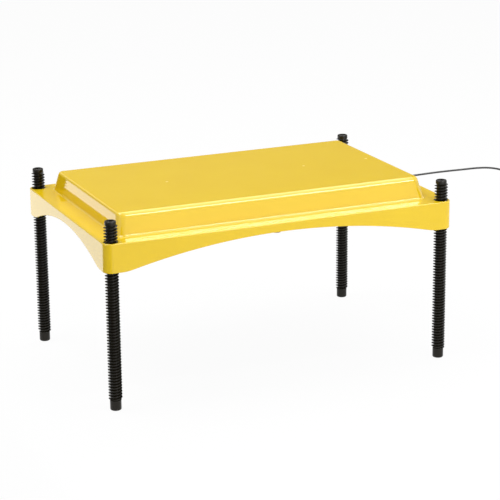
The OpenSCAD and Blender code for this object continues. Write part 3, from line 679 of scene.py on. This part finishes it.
# Moulded nylon for legs: warm black with a satin skin that lights up along the thread's crests
leg_nylon = grained("moulded_nylon_leg", "#1e1a10", "#131009", 1.5, 0.02, (0.2, 0.3), IOR=1.33)
leg_sides = {"front_left": (-1, -1), "front_right": (1, -1),
             "rear_left": (-1, 1), "rear_right": (1, 1)}
for k, (side, (x, y)) in enumerate(leg_sides.items()):
    leg_grid = turned(screw_leg(start_step * k), 0, x * leg_x, y * leg_y)
    leg = add_piece("screw_leg_" + side, closed_skin(leg_grid))
    leg.data.materials.append(leg_nylon)
    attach(leg, side + "_leg")
    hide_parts("leg_" + side)


# Floor and light. White paper under soft lamps: a strip softbox with a halo that only gloss shows,
# three overhead lamps, fills, and a panel behind. Grey boards shape the gloss: two behind for the
# top, and one over the floor at the left, which also shades the front corner and the end skirt.
plate_middle, softbox_aim = (0.0, 0.0, 0.28), (0.0, -0.16, 0.28)
floor_half, paper_glow_share, world_light, world_seen = 40.0, 0.95, 0.44, 1.0
flag_y, flag_low, flag_split = 2.4, 0.42, -0.3


def area_lamp(name, place, aim, width, height, power):
    """A soft lamp of the given size that faces a point, its width along the plate, hidden from
    the camera."""
    data = bpy.data.lights.new(name, "AREA")
    data.shape, data.size, data.size_y, data.energy = "RECTANGLE", width, height, power
    lamp = bpy.data.objects.new(name, data)
    lamp.location = place
    back = (Vector(place) - Vector(aim)).normalized()
    across = (Vector((1, 0, 0)) - back.x * back).normalized()
    lamp.rotation_euler = Matrix((across, back.cross(across), back)).transposed().to_euler()
    lamp.visible_camera = False
    scene.collection.objects.link(lamp)
    return lamp


def level_corners(left, right, front, back, z):
    """Corners of a level board, from the front left one round."""
    return [(left, front, z), (right, front, z), (right, back, z), (left, back, z)]


def upright_corners(left, right, y, low, top):
    """Corners of an upright board along the plate's length, from the lower left one round."""
    return [(left, y, low), (right, y, low), (right, y, top), (left, y, top)]


def stage_board(name, corners, finish):
    """A flat board with four corners and a finish, linked into the scene."""
    mesh = bpy.data.meshes.new(name)
    mesh.from_pydata(corners, [], [(0, 1, 2, 3)])
    mesh.materials.append(finish)
    board = bpy.data.objects.new(name, mesh)
    scene.collection.objects.link(board)
    return board


def seen_ray(tree):
    """One for a ray from the camera, off gloss or through glass, and nought for other rays: the
    greatest of the three."""
    ray = add_node(tree, "ShaderNodeLightPath").outputs
    seen = add_node(tree, "ShaderNodeMath", {
        0: ray["Is Camera Ray"], 1: ray["Is Glossy Ray"]}, operation="MAXIMUM")
    seen = add_node(tree, "ShaderNodeMath", {
        0: seen.outputs[0], 1: ray["Is Transmission Ray"]}, operation="MAXIMUM")
    return seen.outputs[0]


area_lamp("softbox", (0.86, -0.98, 2.13), softbox_aim, 1.4, 0.19, 9.0)
halo = area_lamp("softbox_halo", (0.87, -1.0, 2.16), softbox_aim, 1.5, 0.5, 20.0)
halo.visible_diffuse = False
area_lamp("overhead", (0.85, 0.1, 2.6), plate_middle, 1.5, 0.7, 8.0)
area_lamp("overhead_back", (0.7, 1.2, 2.3), plate_middle, 1.5, 1.2, 17.0)
area_lamp("overhead_left", (-1.0, 0.2, 2.4), plate_middle, 1.2, 1.4, 26.0)
area_lamp("front_fill", (0.6, -2.6, 1.1), plate_middle, 2.4, 2.1, 8.0)
area_lamp("front_low", (0.35, -2.2, 0.35), plate_middle, 2.0, 0.6, 13.2)
area_lamp("left_fill", (-2.4, -0.9, 1.2), plate_middle, 1.6, 1.6, 4.0)
area_lamp("right_fill", (2.4, 0.2, 1.6), plate_middle, 1.6, 1.6, 4.0)
area_lamp("left_back_panel", (-0.85, 1.15, 0.01), (-0.85, 1.15, 1.0), 0.9, 1.5, 4.3)
# White paper: matt, and mostly its own white where it is seen, so that it stays plain and keeps
# the object's shadow
paper, paper_tree, paper_shader = start_material(
    "white_paper", Base_Color=linear("#f4f4f4"), Roughness=0.9, Specular_IOR_Level=0.0)
paper_part = add_node(paper_tree, "ShaderNodeMath", {
    0: seen_ray(paper_tree), 1: paper_glow_share}, operation="MULTIPLY")
paper_glow = add_node(paper_tree, "ShaderNodeEmission", {"Color": (1, 1, 1, 1), "Strength": 1.0})
paper_mix = add_node(paper_tree, "ShaderNodeMixShader", {
    0: paper_part.outputs[0], 1: paper_shader.outputs[0], 2: paper_glow.outputs[0]})
paper_tree.links.new(paper_mix.outputs[0], paper_tree.nodes["Material Output"].inputs["Surface"])
stage_board("floor", level_corners(-floor_half, floor_half, -floor_half, floor_half, 0), paper)
# Grey card: matt and plain, hidden from the camera
card = start_material("grey_card", Base_Color=linear("#8c8c8c"), Roughness=0.9,
                      Specular_IOR_Level=0.0)[0]
flag_corners = {"back_flag": upright_corners(flag_split, 2.6, flag_y, flag_low, 2.6),
                "low_flag": upright_corners(-2.6, flag_split, flag_y, flag_low, 1.05),
                "floor_flag": level_corners(-2.0, -0.45, -1.2, 0.36, 0.02)}
for name, corners in flag_corners.items():
    flag = stage_board(name, corners, card)
    flag.visible_camera = flag.visible_shadow = False
    flag.visible_diffuse = name == "floor_flag"
world = bpy.data.worlds.new("studio")
scene.world = world
world.use_nodes = True
world_tree = world.node_tree
world_level = add_node(world_tree, "ShaderNodeMapRange", {
    "Value": seen_ray(world_tree), "To Min": world_light, "To Max": world_seen})
world_ground = world_tree.nodes["Background"]
world_ground.inputs["Color"].default_value = (1, 1, 1, 1)
world_tree.links.new(world_level.outputs["Result"], world_ground.inputs["Strength"])
